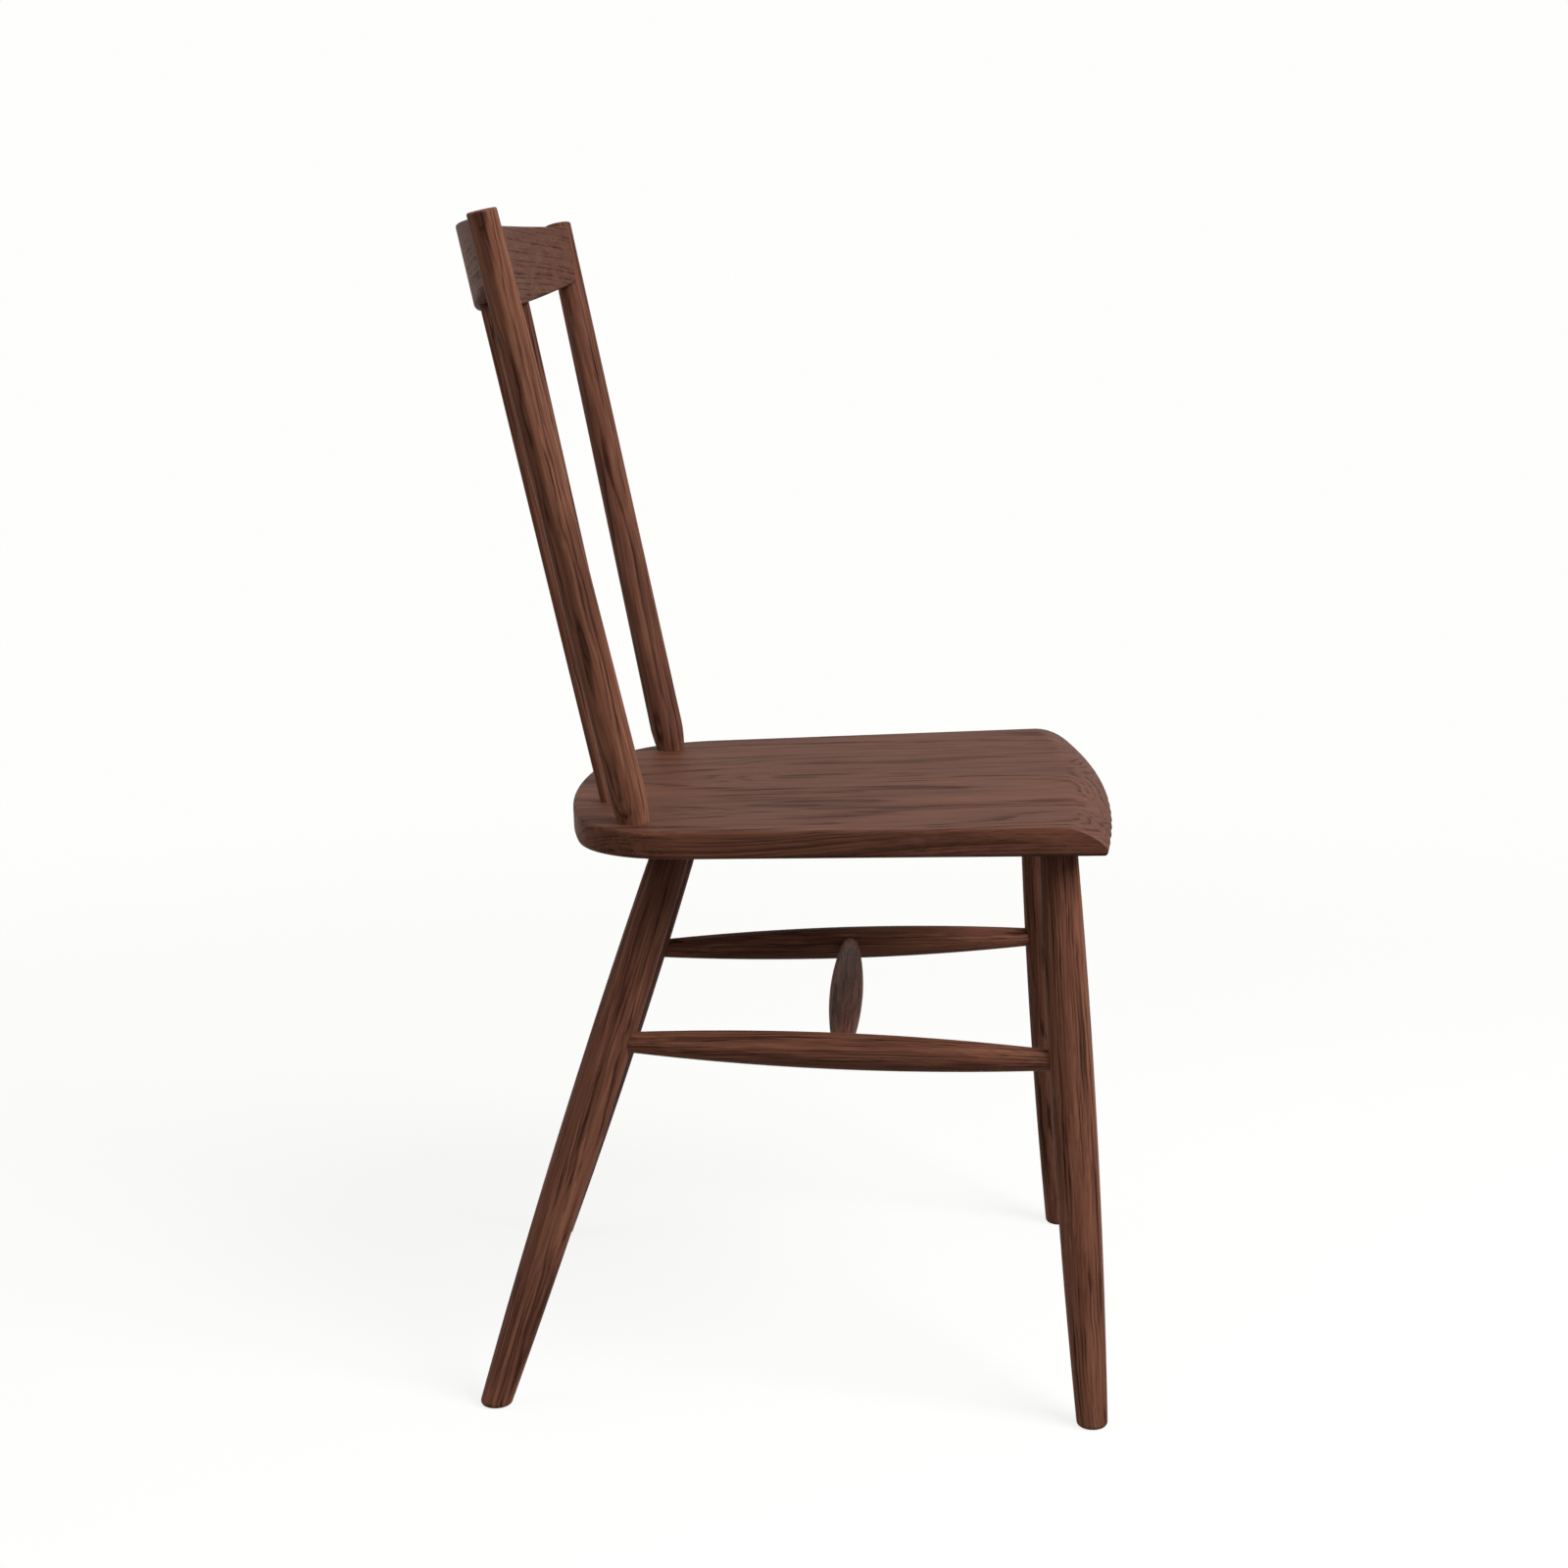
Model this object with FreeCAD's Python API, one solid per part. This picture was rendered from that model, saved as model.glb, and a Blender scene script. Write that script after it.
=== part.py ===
import FreeCAD, Part
import math
import os

from FreeCAD import Rotation, Vector

# All sizes are in millimetres and degrees. The chair faces -Y, the sitter's left is +X, and Z is up.
# The model is laid out about the middle of the seat, then moved so that its origin is the floor
# point under the centre of its own bounding box.

# Seat plank
SEAT_HEIGHT = 452.8
SEAT_DEPTH = 424.5
SEAT_WIDTH_FRONT = 468.0
SEAT_WIDTH_BACK = 402.0
SEAT_THICKNESS = 21.2
SEAT_SLOPE = 1.56
SEAT_BACK_BOW = 33.0
SEAT_BACK_CORNER = 90.0
SEAT_FRONT_BOW = 15.0
NOSE_RADIUS = 47.0
NOSE_SWEEP = 90.0  # degrees of the disc that are made
SEAT_TOP_ROUND = 3.0
SEAT_UNDER_ROUND = 4.0

# Legs, all turned to one pattern with the belly nearer the seat
LEG_TOP_DIAMETER = 28.4
LEG_BELLY_DIAMETER = 33.6
LEG_FOOT_DIAMETER = 23.2
LEG_BELLY_PLACE = 0.40
LEG_SOLE_ROUND = 4.0
FRONT_LEG_SIDE_INSET = 51.5
FRONT_LEG_SPACING = SEAT_WIDTH_FRONT - 2 * FRONT_LEG_SIDE_INSET
FRONT_LEG_INSET = 48.6
FRONT_LEG_SPLAY = 6.15
FRONT_LEG_RAKE = 3.73
REAR_LEG_SIDE_INSET = 76.5
REAR_LEG_SPACING = SEAT_WIDTH_BACK - 2 * REAR_LEG_SIDE_INSET
REAR_LEG_INSET = 87.5
REAR_LEG_SPLAY = 9.28
REAR_LEG_RAKE = 17.83
LEG_TENON_DIAMETER = 20.0
LEG_TENON_LENGTH = 13.0

# Stretchers, thin at the ends and fat in the middle
STRETCHER_HEIGHT = 275.0
SIDE_STRETCHER_BELLY = 27.6
SIDE_STRETCHER_END = 13.4
SIDE_TENON_DIAMETER = 12.0
SIDE_TENON_REACH = 6.0
CROSS_STRETCHER_PLACE = 0.508
CROSS_STRETCHER_BELLY = 27.1
CROSS_STRETCHER_END = 11.8
CROSS_TENON_DIAMETER = 10.0
CROSS_TENON_REACH = 4.0

# Back posts, raked back and splayed outwards
POST_SIDE_INSET = 36.0
POST_SPACING = SEAT_WIDTH_BACK - 2 * POST_SIDE_INSET
POST_INSET = 61.0
BACK_RAKE = 12.09
BACK_FAN = 6.15
POST_HEIGHT = 456.2
POST_DIAMETER = 27.9
POST_TOP_DIAMETER = 22.0
POST_FOOT_DIAMETER = 23.0
POST_FOOT_TAPER = 24.0
POST_TOP_ROUND = 1.5
POST_TENON_DIAMETER = 18.0
POST_TENON_LENGTH = 13.0

# Crest rail and the spindles below it, both set back on one bow between the posts
BACK_BOW = 37.0
CREST_THICKNESS = 18.0
CREST_DROP = 3.8
CREST_CROWN = 5.2
CREST_END_DEPTH = 45.7
CREST_BELLY = 14.4
CREST_TOP_END = POST_HEIGHT - CREST_DROP
CREST_TOP_MIDDLE = CREST_TOP_END + CREST_CROWN
CREST_UNDER_END = CREST_TOP_END - CREST_END_DEPTH
CREST_UNDER_MIDDLE = CREST_UNDER_END - CREST_BELLY
CREST_ROUND = 2.0
CREST_TENON_THICKNESS = 7.0
CREST_TENON_SHOULDER = 8.0
CREST_TENON_REACH = 4.0
SPINDLE_COUNT = 3
SPINDLE_SPREAD = 0.95
SPINDLE_DIAMETER = 10.2
SPINDLE_TENON_DIAMETER = 8.2
SPINDLE_FOOT_DEPTH = 12.0
SPINDLE_TOP_DEPTH = 18.0

# Fits: gap around a tenon, and gap past its end
TENON_GAP = 0.1
END_GAP = 0.6

# Room that cutting blocks and overlong blanks have past the wood that they trim
BLANK = 40.0

# Tolerance for picking edges by their place
PICK = 0.01

UP = Vector(0, 0, 1)
SIDES = {"right": -1, "left": 1}


def tan(degrees):
    return math.tan(math.radians(degrees))


def seat_place():
    return FreeCAD.Placement(Vector(0, 0, SEAT_HEIGHT), Rotation(Vector(1, 0, 0), -SEAT_SLOPE))


def seat_point(x, y, below=0.0):
    """Point of the sloping seat plane, a given depth under its top face."""
    return seat_place().multVec(Vector(x, y, -below))


def slab(below_top, above_top):
    """Block as large as the chair that lies between two depths of the seat plane."""
    size = 4 * (SEAT_DEPTH + SEAT_WIDTH_FRONT)
    block = Part.makeBox(size, size, above_top + below_top, Vector(-size / 2, -size / 2, -below_top))
    block.Placement = seat_place().multiply(block.Placement)
    return block


def meet_seat(start, direction, below=0.0):
    """Where a line crosses the seat plane at a given depth under the top face."""
    normal = seat_place().Rotation.multVec(UP)
    gap = seat_point(0, 0, below).sub(start)
    return start + direction * (gap.dot(normal) / direction.dot(normal))


def turned(start, end, profile):
    """Turned rod along a line, from (distance, radius) points joined by one smooth curve."""
    poles = [Vector(radius, 0, along) for along, radius in profile]
    if len(poles) == 2:
        outline = Part.makeLine(poles[0], poles[1])
    else:
        curve = Part.BSplineCurve()
        curve.interpolate(poles)
        outline = curve.toShape()
    low = Vector(0, 0, poles[0].z)
    high = Vector(0, 0, poles[-1].z)
    wire = Part.Wire([Part.makeLine(low, poles[0]), outline, Part.makeLine(poles[-1], high),
                      Part.makeLine(high, low)])
    rod = Part.Face(wire).revolve(Vector(), UP, 360)
    rod.Placement = FreeCAD.Placement(start, Rotation(UP, end.sub(start)))
    return rod


def round_bar(start, end, diameter):
    return Part.makeCylinder(diameter / 2, end.sub(start).Length, start, end.sub(start))


def towards(start, end, distance):
    return start + end.sub(start).normalize() * distance


def belly_radius(along, length, start_radius, belly, end_radius, place):
    """Radius on the parabola through both ends and the fattest point of a turning."""
    t = along / length
    first = start_radius * (t - place) * (t - 1) / place
    middle = belly * t * (t - 1) / (place * (place - 1))
    last = end_radius * t * (t - place) / (1 - place)
    return first + middle + last


def seat_blank():
    """Plank with a bowed back, straight flared sides and round back corners, too long in front."""
    back = SEAT_DEPTH / 2
    corner = back - SEAT_BACK_BOW
    front = -back - BLANK
    flare = (SEAT_WIDTH_FRONT - SEAT_WIDTH_BACK) / 2 / SEAT_DEPTH

    def half_width(y):
        return SEAT_WIDTH_BACK / 2 + flare * (back - y)

    back_right = Vector(-half_width(corner), corner, 0)
    back_left = Vector(half_width(corner), corner, 0)
    front_left = Vector(half_width(front), front, 0)
    front_right = Vector(-half_width(front), front, 0)
    wire = Part.Wire([
        Part.Arc(back_right, Vector(0, back, 0), back_left).toShape(),
        Part.makeLine(back_left, front_left),
        Part.makeLine(front_left, front_right),
        Part.makeLine(front_right, back_right),
    ])
    plank = Part.Face(wire).extrude(Vector(0, 0, -SEAT_THICKNESS))
    corners = [edge for edge in plank.Edges
               if edge.BoundBox.ZLength > SEAT_THICKNESS / 2 and edge.BoundBox.YMin > 0]
    plank = plank.makeFillet(SEAT_BACK_CORNER, corners)
    lower = [edge for edge in plank.Edges
             if edge.BoundBox.ZMax < PICK - SEAT_THICKNESS and edge.BoundBox.YMax > front + PICK]
    plank = plank.makeFillet(SEAT_UNDER_ROUND, lower)
    upper = [edge for edge in plank.Edges
             if edge.BoundBox.ZMin > -PICK and edge.BoundBox.YMax > front + PICK]
    return plank.makeFillet(SEAT_TOP_ROUND, upper)


def seat_nose():
    """Sector of a disc with the seat's rolled front as its rim, turned about the front bow's centre."""
    half = SEAT_WIDTH_FRONT / 2
    bow = (half * half + SEAT_FRONT_BOW * SEAT_FRONT_BOW) / (2 * SEAT_FRONT_BOW)
    centre = bow - SEAT_DEPTH / 2
    inner = NOSE_RADIUS - SEAT_UNDER_ROUND
    run = math.sqrt(inner ** 2 - (inner - SEAT_THICKNESS + 2 * SEAT_UNDER_ROUND) ** 2)
    roll = run + SEAT_UNDER_ROUND - SEAT_DEPTH / 2
    lean = math.asin(run / inner)

    def rolled(angle):
        return Vector(0, roll - NOSE_RADIUS * math.sin(angle), NOSE_RADIUS * (math.cos(angle) - 1))

    def tucked(angle):
        return Vector(0, roll - run - SEAT_UNDER_ROUND * math.sin(angle),
                      SEAT_UNDER_ROUND * (math.cos(angle) + 1) - SEAT_THICKNESS)

    axis_top = Vector(0, centre, 0)
    axis_low = Vector(0, centre, -SEAT_THICKNESS)
    wire = Part.Wire([
        Part.makeLine(axis_top, rolled(0)),
        Part.Arc(rolled(0), rolled(lean / 2), rolled(lean)).toShape(),
        Part.Arc(rolled(lean), tucked((lean + math.pi) / 2), tucked(math.pi)).toShape(),
        Part.makeLine(tucked(math.pi), axis_low),
        Part.makeLine(axis_low, axis_top),
    ])
    section = Part.Face(wire)
    section.rotate(axis_top, UP, -NOSE_SWEEP / 2)
    return section.revolve(axis_top, UP, NOSE_SWEEP)


def seat():
    """Seat plank with its rounded edges, before any socket is bored."""
    plank = seat_blank().common(seat_nose()).removeSplitter()
    plank.Placement = seat_place()
    return plank


def leg_axis(side, spacing, edge_y, splay, rake):
    """Underside point of the seat where a leg enters it, and the foot of its centre line."""
    top = seat_point(side * spacing / 2, edge_y, SEAT_THICKNESS)
    foot = Vector(top.x + side * top.z * tan(splay), top.y + top.z * tan(rake), 0)
    return top, foot


def leg_axes():
    half = SEAT_DEPTH / 2
    axes = {}
    for name, side in SIDES.items():
        axes["front_leg_" + name] = leg_axis(side, FRONT_LEG_SPACING, FRONT_LEG_INSET - half,
                                             FRONT_LEG_SPLAY, -FRONT_LEG_RAKE)
        axes["rear_leg_" + name] = leg_axis(side, REAR_LEG_SPACING, half - REAR_LEG_INSET,
                                            REAR_LEG_SPLAY, REAR_LEG_RAKE)
    return axes


def leg_radius(along, length):
    return belly_radius(along, length, LEG_TOP_DIAMETER / 2, LEG_BELLY_DIAMETER / 2,
                        LEG_FOOT_DIAMETER / 2, LEG_BELLY_PLACE)


def leg(top, foot):
    """Turned leg, cut flush with the seat's underside and the floor, with a round tenon."""
    length = foot.sub(top).Length
    steps = [-0.08, 0.15, 0.4, 0.65, 0.85, 1.08]
    rod = turned(top, foot, [(t * length, leg_radius(t * length, length)) for t in steps])
    size = 4 * SEAT_DEPTH
    floor = Part.makeBox(2 * size, 2 * size, size, Vector(-size, -size, -size))
    rod = rod.cut(slab(SEAT_THICKNESS, BLANK + size)).cut(floor)
    sole = [edge for edge in rod.Edges if edge.BoundBox.ZMax < PICK]
    rod = rod.makeFillet(LEG_SOLE_ROUND, sole)
    tenon = round_bar(towards(top, foot, LEG_TENON_DIAMETER), towards(top, foot, -LEG_TENON_LENGTH),
                      LEG_TENON_DIAMETER)
    return rod.fuse(tenon).removeSplitter()


def leg_socket(top, foot):
    return round_bar(towards(top, foot, LEG_TENON_DIAMETER),
                     towards(top, foot, -LEG_TENON_LENGTH - END_GAP),
                     LEG_TENON_DIAMETER + 2 * TENON_GAP)


def at_height(top, foot, height):
    return foot + top.sub(foot) * (height / top.z)


def stretcher(start, end, end_diameter, belly_diameter, neighbours, tenon_diameter, reach):
    """Bellied rod coped to the two rods that it joins, with a tenon run past each centre line."""
    length = end.sub(start).Length
    steps = [0.0, 0.25, 0.5, 0.75, 1.0]
    profile = [(t * length, belly_radius(t * length, length, end_diameter / 2, belly_diameter / 2,
                                         end_diameter / 2, 0.5)) for t in steps]
    rod = turned(start, end, profile)
    for neighbour in neighbours:
        rod = rod.cut(neighbour)
    rod = max(rod.Solids, key=lambda solid: solid.Volume)
    tenon = round_bar(towards(start, end, -reach), towards(end, start, -reach), tenon_diameter)
    return rod.fuse(tenon).removeSplitter()


def stretcher_socket(start, end, tenon_diameter, reach):
    return round_bar(towards(start, end, -reach - END_GAP), towards(end, start, -reach - END_GAP),
                     tenon_diameter + 2 * TENON_GAP)


def back_frame():
    """Origin, rearward and upward directions of the raked plane that holds both posts."""
    origin = seat_point(0, SEAT_DEPTH / 2 - POST_INSET)
    rake = math.radians(BACK_RAKE)
    return origin, Vector(0, math.cos(rake), -math.sin(rake)), Vector(0, math.sin(rake), math.cos(rake))


def half_span(height):
    return POST_SPACING / 2 + height * tan(BACK_FAN)


def bow_radius():
    half = half_span(CREST_UNDER_END)
    return (half * half + BACK_BOW * BACK_BOW) / (2 * BACK_BOW)


def bow_at(share):
    """Set-back of the bow at a share of the half span."""
    radius = bow_radius()
    x = share * half_span(CREST_UNDER_END)
    return math.sqrt(radius * radius - x * x) - (radius - BACK_BOW)


def back_point(share, height):
    origin, rearward, upward = back_frame()
    point = origin + rearward * bow_at(share) + upward * height
    return point + Vector(share * half_span(height), 0, 0)


def back_line(share):
    """Seat-top point and unit direction of a post or spindle at a share of the half span."""
    low = back_point(share, 0)
    direction = back_point(share, POST_HEIGHT).sub(low).normalize()
    return meet_seat(low, direction), direction


def post(side):
    """Back post, tapered to its top and to the seat, with a round tenon below."""
    foot, direction = back_line(side)
    top = back_point(side, POST_HEIGHT)
    length = top.sub(foot).Length
    full = length - POST_FOOT_TAPER
    slope = (POST_DIAMETER - POST_TOP_DIAMETER) / 2 / length
    knee = POST_DIAMETER / 2 - slope * POST_FOOT_TAPER
    shaft = turned(foot + direction * POST_FOOT_TAPER, top, [(0, knee), (full, POST_TOP_DIAMETER / 2)])
    rim = [edge for edge in shaft.Edges if edge.BoundBox.ZMin > foot.z + length / 2
           and edge.BoundBox.XLength > POST_TOP_DIAMETER / 2 and edge.BoundBox.ZLength < POST_TOP_DIAMETER]
    shaft = shaft.makeFillet(POST_TOP_ROUND, rim)
    foot_radius = POST_FOOT_DIAMETER / 2
    under = POST_FOOT_TAPER
    neck = turned(foot - direction * under, foot + direction * POST_FOOT_TAPER, [
        (0, foot_radius - (knee - foot_radius)),
        (under, foot_radius),
        (under + POST_FOOT_TAPER * 0.5, foot_radius + (knee - foot_radius) * 0.75),
        (under + POST_FOOT_TAPER, knee),
    ])
    tenon = round_bar(foot - direction * POST_TENON_LENGTH, foot + direction * POST_FOOT_TAPER,
                      POST_TENON_DIAMETER)
    neck = neck.cut(slab(SEAT_THICKNESS + 2 * BLANK, 0))
    return shaft.fuse([neck, tenon]).removeSplitter()


def post_socket(side):
    foot, direction = back_line(side)
    return round_bar(foot - direction * (POST_TENON_LENGTH + END_GAP),
                     foot + direction * POST_FOOT_TAPER, POST_TENON_DIAMETER + 2 * TENON_GAP)


def bowed_board(thickness, heights):
    """Board bent to the bow of the back, over a range of heights along the posts."""
    low, high = heights
    origin, rearward, upward = back_frame()
    radius = bow_radius()
    wide = half_span(high) + BLANK
    rim = []
    for offset in (thickness / 2, -thickness / 2):
        r = radius + offset
        y = math.sqrt(r * r - wide * wide) - (radius - BACK_BOW)
        rim.append((Vector(-wide, y, 0), Vector(0, BACK_BOW + offset, 0), Vector(wide, y, 0)))
    outer, inner = rim
    wire = Part.Wire([
        Part.Arc(*outer).toShape(),
        Part.makeLine(outer[2], inner[2]),
        Part.Arc(*inner).toShape(),
        Part.makeLine(inner[0], outer[0]),
    ])
    board = Part.Face(wire).extrude(Vector(0, 0, high - low))
    board.Placement = FreeCAD.Placement(origin + upward * low, Rotation(Vector(1, 0, 0), rearward, upward))
    return board


def face_outline(points, arcs):
    """Block through the back whose front view is given as corners, some joined by arcs."""
    origin, rearward, upward = back_frame()
    edges = []
    for index, start in enumerate(points):
        end = points[(index + 1) % len(points)]
        if index in arcs:
            edges.append(Part.Arc(Vector(*start), Vector(*arcs[index]), Vector(*end)).toShape())
        else:
            edges.append(Part.makeLine(Vector(*start), Vector(*end)))
    deep = 2 * (BACK_BOW + BLANK)
    block = Part.Face(Part.Wire(edges)).extrude(Vector(0, deep, 0))
    block.translate(Vector(0, -deep / 2, 0))
    block.Placement = FreeCAD.Placement(origin, Rotation(Vector(1, 0, 0), rearward, upward)).multiply(
        block.Placement)
    return block


def crest_tenons(gap, end_gap):
    """Thin board that runs into both posts, also used a little larger to cut their mortises."""
    low = CREST_UNDER_END + CREST_TENON_SHOULDER - gap
    high = CREST_TOP_END - CREST_TENON_SHOULDER + gap
    reach = CREST_TENON_REACH + end_gap
    board = bowed_board(CREST_TENON_THICKNESS + 2 * gap, (low, high))
    x_low = half_span(low) + reach
    x_high = half_span(high) + reach
    corners = [(-x_low, 0, low), (x_low, 0, low), (x_high, 0, high), (-x_high, 0, high)]
    return board.common(face_outline(corners, {}))


def crest_rail(posts, spindle_bores):
    """Bent crest rail, deeper in the middle, coped to the posts and tenoned into them."""
    board = bowed_board(CREST_THICKNESS, (CREST_UNDER_MIDDLE - BLANK, CREST_TOP_MIDDLE + BLANK))
    ends = half_span((CREST_TOP_END + CREST_UNDER_END) / 2)
    corners = [(-ends, 0, CREST_UNDER_END), (ends, 0, CREST_UNDER_END),
               (ends, 0, CREST_TOP_END), (-ends, 0, CREST_TOP_END)]
    arcs = {0: (0, 0, CREST_UNDER_MIDDLE), 2: (0, 0, CREST_TOP_MIDDLE)}
    board = board.common(face_outline(corners, arcs))
    long_edges = [edge for edge in board.Edges if edge.BoundBox.XLength > ends]
    board = board.makeFillet(CREST_ROUND, long_edges)
    for solid in posts:
        board = board.cut(solid)
    board = max(board.Solids, key=lambda piece: piece.Volume)
    board = board.fuse(crest_tenons(0, 0)).removeSplitter()
    for bore in spindle_bores:
        board = board.cut(bore)
    return board


def spindle_shares():
    """Even places between the posts, drawn in a little towards the middle."""
    even = [2 * (index + 1) / (SPINDLE_COUNT + 1) - 1 for index in range(SPINDLE_COUNT)]
    return [SPINDLE_SPREAD * share for share in even]


def crest_under(share):
    """Height of the crest rail's lower edge above the post feet at a share of the half span."""
    ends = half_span((CREST_TOP_END + CREST_UNDER_END) / 2)
    radius = (ends * ends + CREST_BELLY * CREST_BELLY) / (2 * CREST_BELLY)
    x = share * half_span(CREST_UNDER_END)
    return CREST_UNDER_MIDDLE + radius - math.sqrt(radius * radius - x * x)


def spindle(share, board):
    """Spindle with a plain foot and a turned-down top, both in blind sockets."""
    foot, direction = back_line(share)
    shoulder = back_point(share, crest_under(share))
    start = foot - direction * SPINDLE_FOOT_DEPTH
    body = round_bar(start, shoulder + direction * CREST_THICKNESS, SPINDLE_DIAMETER).cut(board)
    body = max(body.Solids, key=lambda piece: piece.Volume)
    tenon = round_bar(start, shoulder + direction * SPINDLE_TOP_DEPTH, SPINDLE_TENON_DIAMETER)
    return body.fuse(tenon).removeSplitter()


def spindle_foot_bore(share):
    foot, direction = back_line(share)
    return round_bar(foot - direction * (SPINDLE_FOOT_DEPTH + END_GAP), foot + direction * BLANK,
                     SPINDLE_DIAMETER + 2 * TENON_GAP)


def spindle_top_bore(share):
    _, direction = back_line(share)
    shoulder = back_point(share, crest_under(share))
    return round_bar(shoulder - direction * BLANK,
                     shoulder + direction * (SPINDLE_TOP_DEPTH + END_GAP),
                     SPINDLE_TENON_DIAMETER + 2 * TENON_GAP)


def build():
    nodes = {}
    axes = leg_axes()
    legs = {name: leg(*axis) for name, axis in axes.items()}

    side_lines = {}
    for name in SIDES:
        rear = at_height(*axes["rear_leg_" + name], STRETCHER_HEIGHT)
        front = at_height(*axes["front_leg_" + name], STRETCHER_HEIGHT)
        side_lines[name] = (rear, front)
        pair = [legs["rear_leg_" + name], legs["front_leg_" + name]]
        nodes["side_stretcher_" + name] = stretcher(
            rear, front, SIDE_STRETCHER_END, SIDE_STRETCHER_BELLY, pair,
            SIDE_TENON_DIAMETER, SIDE_TENON_REACH)
        socket = stretcher_socket(rear, front, SIDE_TENON_DIAMETER, SIDE_TENON_REACH)
        for end in ("rear_leg_", "front_leg_"):
            nodes[end + name] = legs[end + name].cut(socket)

    crossing = [rear + (front - rear) * CROSS_STRETCHER_PLACE for rear, front in side_lines.values()]
    sides = [nodes["side_stretcher_" + name] for name in SIDES]
    nodes["cross_stretcher"] = stretcher(
        crossing[0], crossing[1], CROSS_STRETCHER_END, CROSS_STRETCHER_BELLY, sides,
        CROSS_TENON_DIAMETER, CROSS_TENON_REACH)
    socket = stretcher_socket(crossing[0], crossing[1], CROSS_TENON_DIAMETER, CROSS_TENON_REACH)
    for name in SIDES:
        nodes["side_stretcher_" + name] = nodes["side_stretcher_" + name].cut(socket)

    shares = spindle_shares()
    posts = {name: post(side) for name, side in SIDES.items()}
    board = crest_rail(list(posts.values()), [])
    for index, share in enumerate(shares):
        nodes["spindle_%d" % (index + 1)] = spindle(share, board)
    nodes["crest_rail"] = crest_rail(list(posts.values()), [spindle_top_bore(share) for share in shares])
    mortises = crest_tenons(TENON_GAP, END_GAP)
    for name, solid in posts.items():
        nodes["back_post_" + name] = solid.cut(mortises)

    plank = seat()
    for axis in axes.values():
        plank = plank.cut(leg_socket(*axis))
    for side in SIDES.values():
        plank = plank.cut(post_socket(side))
    for share in shares:
        plank = plank.cut(spindle_foot_bore(share))
    nodes["seat"] = plank
    return nodes


def centre_on_floor(nodes):
    """Put the origin on the floor under the centre of the whole chair's bounding box."""
    box = FreeCAD.BoundBox()
    for shape in nodes.values():
        box.add(shape.optimalBoundingBox(False))
    for shape in nodes.values():
        shape.translate(Vector(-box.Center.x, -box.Center.y, -box.ZMin))
    return box


def main():
    nodes = build()
    box = centre_on_floor(nodes)
    os.makedirs("parts", exist_ok=True)
    for name, shape in nodes.items():
        solid = shape.Solids[0] if len(shape.Solids) == 1 else shape
        if len(shape.Solids) != 1 or not solid.isValid():
            print("check", name, len(shape.Solids), "solids, valid", shape.isValid())
        solid.exportStep("parts/%s.step" % name)
        print(name, round(solid.Volume / 1000, 1), "cm3")
    print("overall", round(box.XLength, 1), round(box.YLength, 1), round(box.ZLength, 1))
    print("origin moved by", round(-box.Center.x, 2), round(-box.Center.y, 2), round(-box.ZMin, 2))


main()
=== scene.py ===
# Windsor chair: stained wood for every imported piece, with floor, light and camera.
import math

import bpy
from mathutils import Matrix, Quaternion, Vector

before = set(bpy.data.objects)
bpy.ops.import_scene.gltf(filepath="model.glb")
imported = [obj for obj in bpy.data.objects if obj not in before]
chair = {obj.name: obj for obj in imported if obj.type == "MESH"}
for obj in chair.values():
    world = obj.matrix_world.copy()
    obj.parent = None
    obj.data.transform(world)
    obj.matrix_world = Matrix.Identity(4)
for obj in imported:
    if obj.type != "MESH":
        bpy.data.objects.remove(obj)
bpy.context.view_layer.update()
bpy.ops.object.select_all(action="DESELECT")
print("chair loaded:", len(chair), "pieces")


# where the grain lies in a piece

endShare = 0.04  # of a piece's length, taken as its end


def endCentre(points, axis, edge, depth):
    near = [p for p in points if abs(p[axis] - edge) < depth]
    low = Vector([min(p[i] for p in near) for i in range(3)])
    high = Vector([max(p[i] for p in near) for i in range(3)])
    return (low + high) / 2


def grainLine(piece, along, heartSide):
    # from one end of the piece to the other, with the heart of the tree turned to one side
    axis = "XYZ".index(along)
    points = [v.co for v in piece.data.vertices]
    low = min(p[axis] for p in points)
    high = max(p[axis] for p in points)
    depth = (high - low) * endShare
    start = endCentre(points, axis, low, depth)
    end = endCentre(points, axis, high, depth)
    turn = (end - start).to_track_quat("Z", "X")
    turn = turn @ Quaternion((0, 0, 1), math.radians(heartSide))
    return (start + end) / 2, turn.to_euler()


# nodes that the materials are put together from

def addNode(tree, kind, column, row, **settings):
    made = tree.nodes.new(kind)
    made.location = (column * 190, -row * 190)
    for name, value in settings.items():
        setattr(made, name, value)
    return made


def stretched(tree, source, column, row, scale, shift=(0, 0, 0)):
    made = addNode(tree, "ShaderNodeMapping", column, row)
    made.inputs["Scale"].default_value = scale
    made.inputs["Location"].default_value = shift
    tree.links.new(source, made.inputs["Vector"])
    return made.outputs["Vector"]


def speckle(tree, source, column, row, detail, roughness=0.5):
    made = addNode(tree, "ShaderNodeTexNoise", column, row)
    made.inputs["Scale"].default_value = 1
    made.inputs["Detail"].default_value = detail
    made.inputs["Roughness"].default_value = roughness
    tree.links.new(source, made.inputs["Vector"])
    return made


def fillSockets(tree, made, *values):
    for socket, value in zip(made.inputs, values):
        if isinstance(value, bpy.types.NodeSocket):
            tree.links.new(value, socket)
        elif value is not None:
            socket.default_value = value


def vectorMath(tree, operation, column, row, first, second=None):
    made = addNode(tree, "ShaderNodeVectorMath", column, row, operation=operation)
    fillSockets(tree, made, first, second)
    return made.outputs["Value" if operation == "LENGTH" else "Vector"]


def numberMath(tree, operation, column, row, first, second=None):
    made = addNode(tree, "ShaderNodeMath", column, row, operation=operation)
    fillSockets(tree, made, first, second)
    return made.outputs["Value"]


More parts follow.
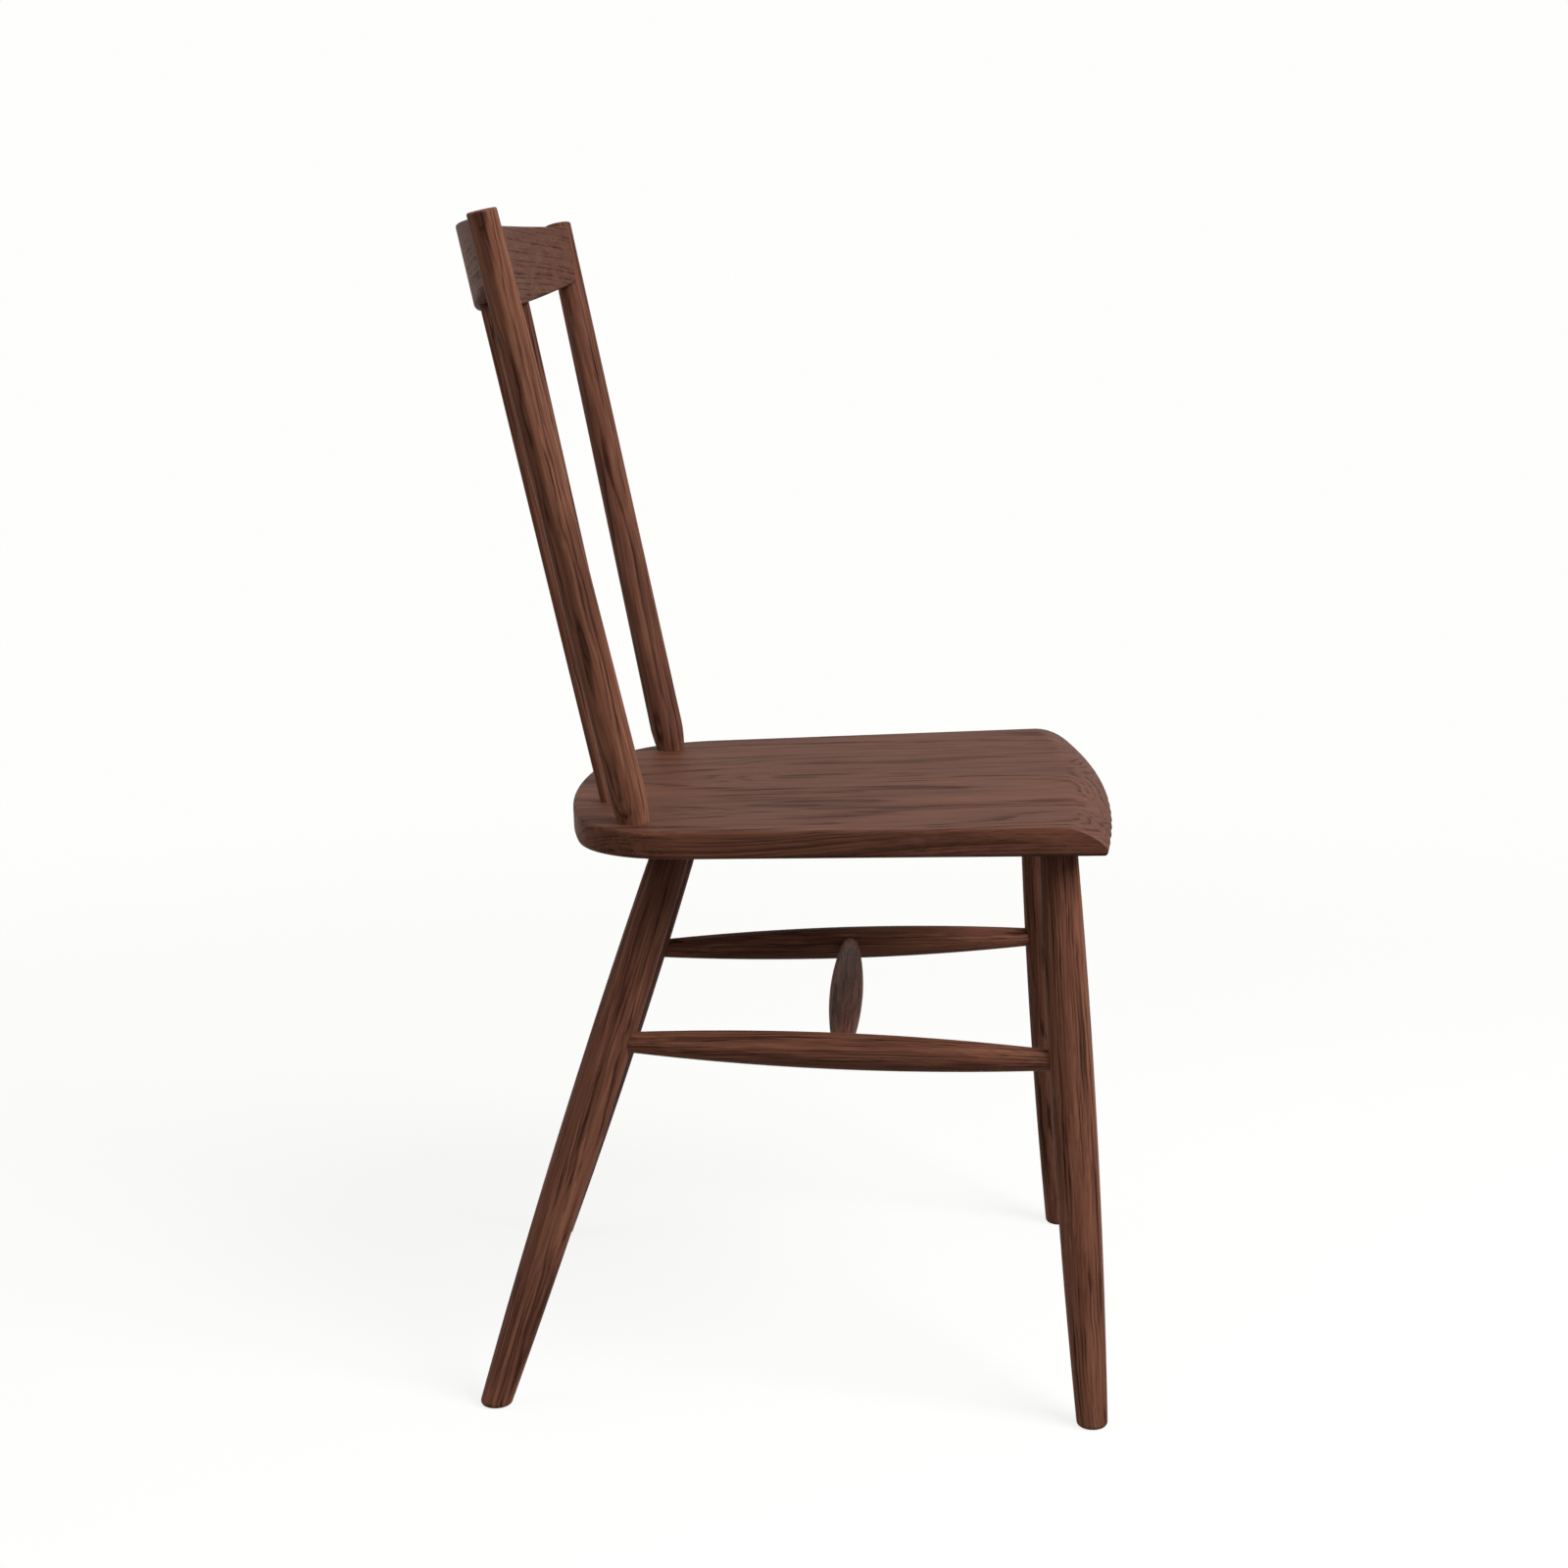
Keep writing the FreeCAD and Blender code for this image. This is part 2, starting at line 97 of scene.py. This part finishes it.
def between(tree, source, column, row, reach, bottom=0.0, top=1.0):
    # rises smoothly from bottom to top while the source goes through reach
    made = addNode(tree, "ShaderNodeMapRange", column, row, interpolation_type="SMOOTHSTEP")
    made.inputs["From Min"].default_value = reach[0]
    made.inputs["From Max"].default_value = reach[1]
    made.inputs["To Min"].default_value = bottom
    made.inputs["To Max"].default_value = top
    tree.links.new(source, made.inputs["Value"])
    return made.outputs["Result"]


def stain(tree, column, row, amount, under, over):
    made = addNode(tree, "ShaderNodeMix", column, row, data_type="RGBA")
    tree.links.new(amount, made.inputs["Factor"])
    slots = [s for s in made.inputs if s.type == "RGBA"]
    for socket, value in zip(slots, (under, over)):
        if isinstance(value, bpy.types.NodeSocket):
            tree.links.new(value, socket)
        else:
            socket.default_value = (*value, 1)
    return [s for s in made.outputs if s.type == "RGBA"][0]


# what all pieces share: the wood's own pattern, in metres with Z along the grain
woodGrain = {
    "driftScale": (9, 9, 2.6),
    "waverScale": (70, 70, 17),
    "fadeScale": (150, 150, 11),
    "fibreScale": (800, 800, 15),
    "cloudScale": (16, 16, 5),
    "middle": (0.5, 0.5, 0.5),  # of a noise's colour, taken off so that it bends both ways
    "yearChange": 0.45,  # how often wet and dry years change, per ring
    "yearSpread": 2.4,  # how far they push a ring, in ring widths
    "ringEnds": (1.0, 0.85),
    "ringLevels": ((0.12, 0.95), (0.32, 0.25), (0.62, 0.0), (0.92, 0.2)),
    "fadeRange": (0.36, 0.62),
    "faintRing": 0.15,
    "poreRange": (0.54, 0.68),
    "earlyWood": (0.0, 0.7),
    "latePores": 0.3,
    "fibreRange": (0.36, 0.66),
    "streakRange": (0.34, 0.68),
    "cloudRange": (0.34, 0.66),
    "ringDepth": 0.4,
    "fibreDepth": 0.15,
    "bumpDistance": 0.0003,
    "deepest": 1.3,  # of rings, pores and fibres together
    "dullBy": 0.18,  # how much rougher the finish is there
}


def stainedWood(name, piece, look):
    centre, turn = grainLine(piece, look["along"], look["heartSide"])
    wood = bpy.data.materials.new(name)
    wood.use_nodes = True
    tree = wood.node_tree
    tree.nodes.clear()
    shift = look["cut"]

    coords = addNode(tree, "ShaderNodeTexCoord", 0, 0)
    place = addNode(tree, "ShaderNodeMapping", 1, 0, vector_type="TEXTURE")
    place.inputs["Location"].default_value = centre
    place.inputs["Rotation"].default_value = turn
    tree.links.new(coords.outputs["Object"], place.inputs["Vector"])
    grain = place.outputs["Vector"]  # metres, Z along the grain

    # the tree's slow drift and the small waver of its rings
    drift = stretched(tree, grain, 2, 1, woodGrain["driftScale"], (shift, 0, 0))
    drift = speckle(tree, drift, 3, 1, 1)
    drift = vectorMath(tree, "SUBTRACT", 4, 1, drift.outputs["Color"], woodGrain["middle"])
    drift = vectorMath(tree, "MULTIPLY", 5, 1, drift, (look["drift"], look["drift"], 0))
    waver = stretched(tree, grain, 2, 2, woodGrain["waverScale"], (0, shift, 0))
    waver = speckle(tree, waver, 3, 2, 2)
    waver = vectorMath(tree, "SUBTRACT", 4, 2, waver.outputs["Color"], woodGrain["middle"])
    waver = vectorMath(tree, "MULTIPLY", 5, 2, waver, (look["waver"], look["waver"], 0))
    bent = vectorMath(tree, "ADD", 6, 1, grain, drift)
    bent = vectorMath(tree, "ADD", 7, 1, bent, waver)

    # growth rings round a heart that lies beside the piece
    heart = addNode(tree, "ShaderNodeMapping", 8, 1)
    heart.inputs["Location"].default_value = (look["heartAway"], 0, 0)
    heart.inputs["Rotation"].default_value = (0, math.radians(look["lean"]), 0)
    tree.links.new(bent, heart.inputs["Vector"])
    apart = addNode(tree, "ShaderNodeSeparateXYZ", 9, 1)
    tree.links.new(heart.outputs["Vector"], apart.inputs["Vector"])
    across = numberMath(tree, "PINGPONG", 9, 2, apart.outputs["Y"], look["boardWidth"])
    flat = addNode(tree, "ShaderNodeCombineXYZ", 10, 2)
    tree.links.new(apart.outputs["X"], flat.inputs["X"])
    tree.links.new(across, flat.inputs["Y"])
    radius = vectorMath(tree, "LENGTH", 10, 1, flat.outputs["Vector"])
    # wet and dry years: rings of uneven width
    years = addNode(tree, "ShaderNodeTexNoise", 11, 0, noise_dimensions="1D")
    years.inputs["Scale"].default_value = woodGrain["yearChange"] / look["ringWidth"]
    years.inputs["Detail"].default_value = 1
    tree.links.new(radius, years.inputs["W"])
    spread = look["ringWidth"] * woodGrain["yearSpread"]
    uneven = numberMath(tree, "MULTIPLY", 12, 0, years.outputs["Fac"], spread)
    radius = numberMath(tree, "ADD", 13, 0, radius, uneven)
    phase = numberMath(tree, "DIVIDE", 11, 1, radius, look["ringWidth"])
    phase = numberMath(tree, "FRACT", 12, 1, phase)
    line = addNode(tree, "ShaderNodeValToRGB", 13, 1)
    ramp = line.color_ramp
    for position, level in enumerate(woodGrain["ringEnds"]):
        ramp.elements[position].position = position
        ramp.elements[position].color = (level, level, level, 1)
    for position, level in woodGrain["ringLevels"]:
        ramp.elements.new(position).color = (level, level, level, 1)
    tree.links.new(phase, line.inputs["Fac"])
    # rings fade in and out along the grain
    fade = stretched(tree, grain, 11, 2, woodGrain["fadeScale"], (0, 0, shift))
    fade = speckle(tree, fade, 12, 2, 2)
    fade = between(tree, fade.outputs["Fac"], 13, 2, woodGrain["fadeRange"], woodGrain["faintRing"])
    rings = numberMath(tree, "MULTIPLY", 14, 1, line.outputs["Color"], fade)

    # open pores: short dark dashes, thickest in the rings' early wood
    pores = speckle(tree, stretched(tree, bent, 8, 3, look["poreScale"]), 9, 3, 2)
    pores = between(tree, pores.outputs["Fac"], 10, 3, woodGrain["poreRange"])
    early = between(tree, rings, 15, 2, woodGrain["earlyWood"], woodGrain["latePores"])
    pores = numberMath(tree, "MULTIPLY", 16, 3, pores, early)

    # fine fibres and the slow change of colour along a board
    fibres = speckle(tree, stretched(tree, bent, 8, 4, woodGrain["fibreScale"]), 9, 4, 3, 0.6)
    fibres = between(tree, fibres.outputs["Fac"], 10, 4, woodGrain["fibreRange"])
    streaks = stretched(tree, bent, 8, 5, look["streakScale"], (shift, 0, 0))
    streaks = speckle(tree, streaks, 9, 5, 3, 0.6)
    streaks = between(tree, streaks.outputs["Fac"], 10, 5, woodGrain["streakRange"])
    clouds = stretched(tree, grain, 8, 6, woodGrain["cloudScale"], (0, shift, 0))
    clouds = speckle(tree, clouds, 9, 6, 2)
    clouds = between(tree, clouds.outputs["Fac"], 10, 6, woodGrain["cloudRange"])

    colour = stain(tree, 17, 6, clouds, look["warm"], look["cool"])
    pale = numberMath(tree, "MULTIPLY", 11, 5, streaks, look["streakStrength"])
    colour = stain(tree, 18, 5, pale, colour, look["pale"])
    shade = numberMath(tree, "MULTIPLY", 11, 4, fibres, look["fibreStrength"])
    colour = stain(tree, 19, 4, shade, colour, look["dark"])
    deep = numberMath(tree, "MULTIPLY", 17, 1, rings, look["ringStrength"])
    colour = stain(tree, 20, 3, deep, colour, look["dark"])
    holes = numberMath(tree, "MULTIPLY", 17, 3, pores, look["poreStrength"])
    colour = stain(tree, 21, 3, holes, colour, look["darkest"])

    # the finish sinks a little into rings and pores
    ringDepth = numberMath(tree, "MULTIPLY", 17, 2, rings, woodGrain["ringDepth"])
    fibreDepth = numberMath(tree, "MULTIPLY", 11, 7, fibres, woodGrain["fibreDepth"])
    sunk = numberMath(tree, "ADD", 18, 2, ringDepth, pores)
    sunk = numberMath(tree, "ADD", 19, 2, sunk, fibreDepth)
    bump = addNode(tree, "ShaderNodeBump", 21, 5, invert=True)
    bump.inputs["Strength"].default_value = look["relief"]
    bump.inputs["Distance"].default_value = woodGrain["bumpDistance"]
    tree.links.new(sunk, bump.inputs["Height"])
    dull = look["roughness"] + woodGrain["dullBy"]
    gloss = between(tree, sunk, 20, 2, (0.0, woodGrain["deepest"]), look["roughness"], dull)

    shader = addNode(tree, "ShaderNodeBsdfPrincipled", 22, 3)
    shader.inputs["Specular IOR Level"].default_value = look["specular"]
    tree.links.new(colour, shader.inputs["Base Color"])
    tree.links.new(gloss, shader.inputs["Roughness"])
    tree.links.new(bump.outputs["Normal"], shader.inputs["Normal"])
    result = addNode(tree, "ShaderNodeOutputMaterial", 24, 3)
    tree.links.new(shader.outputs["BSDF"], result.inputs["Surface"])

    for slot in range(len(piece.data.materials)):
        piece.data.materials[slot] = wood
    if not piece.data.materials:
        piece.data.materials.append(wood)


# the seat, a plank glued up from matched boards

seatLook = {
    "along": "Y",
    "heartSide": 0,
    "heartAway": 0.42,  # metres from the middle of the plank to the heart of the tree
    "boardWidth": 0.13,  # metres, after which the rings are mirrored as on matched boards
    "lean": 0.7,  # degrees between grain and heart, gives the arches on its top
    "ringWidth": 0.0038,
    "cut": 3.1,
    "drift": 0.040,
    "waver": 0.0022,
    "poreScale": (600, 600, 22),
    "streakScale": (85, 85, 4),
    "warm": (0.165, 0.061, 0.036),
    "cool": (0.130, 0.052, 0.033),
    "pale": (0.225, 0.090, 0.054),
    "dark": (0.046, 0.016, 0.010),
    "darkest": (0.024, 0.009, 0.006),
    "ringStrength": 0.86,
    "poreStrength": 0.6,
    "fibreStrength": 0.36,
    "streakStrength": 0.6,
    "relief": 0.4,
    "roughness": 0.6,
    "specular": 0.06,
}
stainedWood("seatWood", chair["seat"], seatLook)
print("seat finished")


# the legs, each cut from another part of the tree

legLook = {
    **seatLook,
    "along": "Z",
    "heartAway": 0.050,
    "boardWidth": 1.0,
    "lean": 1.2,
    "ringWidth": 0.0034,
    "drift": 0.022,
    "waver": 0.0048,
    "streakScale": (210, 210, 6),
    "warm": (0.215, 0.080, 0.047),
    "cool": (0.140, 0.053, 0.033),
    "pale": (0.330, 0.140, 0.085),
    "dark": (0.040, 0.014, 0.009),
    "ringStrength": 0.92,
    "streakStrength": 0.8,
    "poreStrength": 0.8,
}
legCuts = {
    "front_leg_left": {"cut": 11.3, "heartSide": 205},
    "front_leg_right": {"cut": 5.7, "heartSide": 70},
    "rear_leg_left": {"cut": 17.9, "heartSide": 310},
    "rear_leg_right": {"cut": 23.4, "heartSide": 120},
}
for legName, cut in legCuts.items():
    stainedWood(legName + "_wood", chair[legName], {**legLook, **cut})
print("legs finished")


# the stretchers

stretcherLook = {
    **legLook,
    "along": "Y",
    "warm": (0.215, 0.078, 0.047),
    "cool": (0.135, 0.050, 0.032),
    "ringWidth": 0.0032,
    "drift": 0.016,
}
stretcherCuts = {
    "side_stretcher_left": {"cut": 31.6, "heartSide": 150},
    "side_stretcher_right": {"cut": 37.2, "heartSide": 30},
    "cross_stretcher": {"cut": 41.5, "heartSide": 260, "along": "X"},
}
for stretcherName, cut in stretcherCuts.items():
    stainedWood(stretcherName + "_wood", chair[stretcherName], {**stretcherLook, **cut})
print("stretchers finished")


# the back posts, a little paler than the legs

postLook = {
    **legLook,
    "ringWidth": 0.0038,
    "lean": 1.0,
    "warm": (0.255, 0.097, 0.056),
    "cool": (0.175, 0.068, 0.041),
    "pale": (0.370, 0.158, 0.095),
}
postCuts = {
    "back_post_left": {
        "cut": 47.8,
        "heartSide": 95,
        "warm": (0.215, 0.082, 0.048),
        "cool": (0.145, 0.056, 0.035),
        "pale": (0.300, 0.128, 0.080),
    },
    "back_post_right": {"cut": 53.1, "heartSide": 240},
}
for postName, cut in postCuts.items():
    stainedWood(postName + "_wood", chair[postName], {**postLook, **cut})
print("back posts finished")


# the spindles, straight grained

spindleLook = {**legLook, "heartAway": 0.06, "drift": 0.006, "lean": 0.5}
spindleCuts = {
    "spindle_1": {"cut": 59.4, "heartSide": 15},
    "spindle_2": {"cut": 61.2, "heartSide": 140},
    "spindle_3": {"cut": 67.9, "heartSide": 265},
}
for spindleName, cut in spindleCuts.items():
    stainedWood(spindleName + "_wood", chair[spindleName], {**spindleLook, **cut})
print("spindles finished")


# the crest rail

crestLook = {
    **seatLook,
    "along": "X",
    "heartAway": 0.12,
    "boardWidth": 1.0,
    "lean": 3.5,
    "ringWidth": 0.0052,
    "cut": 71.3,
    "drift": 0.024,
    "waver": 0.0030,
    "poreScale": (520, 520, 9),
    "streakScale": (190, 190, 5),
    "poreStrength": 0.35,
    "warm": (0.165, 0.069, 0.044),
    "cool": (0.135, 0.058, 0.039),
    "pale": (0.205, 0.090, 0.060),
}
stainedWood("crestWood", chair["crest_rail"], crestLook)
print("crest rail finished")


# the floor, which fades into the backdrop

backdropColour = (0.99, 0.99, 0.974)
floorLook = {
    "size": 14.0,
    "colour": (0.22, 0.22, 0.218),
    "glow": (0.83, 0.83, 0.82),  # seen, never lights the chair
    "fade": (0.7, 2.3),  # metres from the chair, where it turns into the backdrop
}


def seenOnly(tree):
    # on for what the camera sees straight, in gloss or through glass
    path = addNode(tree, "ShaderNodeLightPath", 0, 0)
    seen = path.outputs["Is Camera Ray"]
    seen = numberMath(tree, "MAXIMUM", 1, 0, seen, path.outputs["Is Glossy Ray"])
    return numberMath(tree, "MAXIMUM", 2, 0, seen, path.outputs["Is Transmission Ray"])


bpy.ops.mesh.primitive_plane_add(size=floorLook["size"], location=(0, 0, 0))
floor = bpy.context.active_object
floor.name = "floor"
paleFloor = bpy.data.materials.new("paleFloor")
paleFloor.use_nodes = True
floorTree = paleFloor.node_tree
floorTree.nodes.clear()
matt = addNode(floorTree, "ShaderNodeBsdfDiffuse", 4, 0)
matt.inputs["Color"].default_value = (*floorLook["colour"], 1)
glow = addNode(floorTree, "ShaderNodeEmission", 4, 1)
glow.inputs["Color"].default_value = (*floorLook["glow"], 1)
floorSeen = seenOnly(floorTree)
floorTree.links.new(floorSeen, glow.inputs["Strength"])
both = addNode(floorTree, "ShaderNodeAddShader", 5, 0)
floorTree.links.new(matt.outputs["BSDF"], both.inputs[0])
floorTree.links.new(glow.outputs["Emission"], both.inputs[1])
far = addNode(floorTree, "ShaderNodeEmission", 4, 2)
far.inputs["Color"].default_value = (*backdropColour, 1)
floorTree.links.new(floorSeen, far.inputs["Strength"])
floorCoords = addNode(floorTree, "ShaderNodeTexCoord", 2, 3)
away = vectorMath(floorTree, "LENGTH", 3, 3, floorCoords.outputs["Object"])
fading = addNode(floorTree, "ShaderNodeMixShader", 6, 0)
floorFade = between(floorTree, away, 4, 3, floorLook["fade"])
floorTree.links.new(floorFade, fading.inputs["Fac"])
floorTree.links.new(both.outputs["Shader"], fading.inputs[1])
floorTree.links.new(far.outputs["Emission"], fading.inputs[2])
floorEnd = addNode(floorTree, "ShaderNodeOutputMaterial", 7, 0)
floorTree.links.new(fading.outputs["Shader"], floorEnd.inputs["Surface"])
floor.data.materials.append(paleFloor)
print("floor laid")


# room light, backdrop and two soft lamps

lightLook = {
    "roomColour": (1.0, 1.0, 1.0),
    "roomLevel": 0.34,
    "lamps": (
        # name, place, aimed at, watts, size
        ("windowLamp", (-1.45, -1.90, 2.45), (0, 0, 0.5), 78, 1.8),
        ("backLamp", (-0.6, 2.4, 1.6), (0, 0, 0.5), 6, 1.6),
    ),
}

room = bpy.data.worlds.new("room")
room.use_nodes = True
bpy.context.scene.world = room
roomTree = room.node_tree
roomTree.nodes.clear()
fill = addNode(roomTree, "ShaderNodeBackground", 5, 0)
fill.inputs["Color"].default_value = (*lightLook["roomColour"], 1)
fill.inputs["Strength"].default_value = lightLook["roomLevel"]
back = addNode(roomTree, "ShaderNodeBackground", 5, 1)
back.inputs["Color"].default_value = (*backdropColour, 1)
pick = addNode(roomTree, "ShaderNodeMixShader", 6, 0)
roomTree.links.new(seenOnly(roomTree), pick.inputs["Fac"])
roomTree.links.new(fill.outputs["Background"], pick.inputs[1])
roomTree.links.new(back.outputs["Background"], pick.inputs[2])
roomEnd = addNode(roomTree, "ShaderNodeOutputWorld", 7, 0)
roomTree.links.new(pick.outputs["Shader"], roomEnd.inputs["Surface"])

for lampName, spot, aim, watts, size in lightLook["lamps"]:
    facing = (Vector(aim) - Vector(spot)).to_track_quat("-Z", "Y").to_euler()
    bpy.ops.object.light_add(type="AREA", location=spot, rotation=facing)
    lamp = bpy.context.active_object
    lamp.name = lampName
    lamp.data.energy = watts
    lamp.data.size = size
print("light set")


# the camera, at the photograph's angle

cameraLook = {
    "place": (-2.174412, -0.090257, 0.840158),
    "tilt": 79.744,  # degrees from straight down
    "heading": -89.370,
    "lens": 63.0008,
    "filmWidth": 36,
    "shift": (-0.05809, 0.00112),
}
bpy.ops.object.camera_add(
    location=cameraLook["place"],
    rotation=(math.radians(cameraLook["tilt"]), 0, math.radians(cameraLook["heading"])),
)
camera = bpy.context.active_object
camera.name = "camera"
camera.data.lens = cameraLook["lens"]
camera.data.sensor_width = cameraLook["filmWidth"]
camera.data.shift_x, camera.data.shift_y = cameraLook["shift"]
bpy.context.scene.camera = camera
bpy.context.scene.view_settings.view_transform = "Standard"
print("camera set")
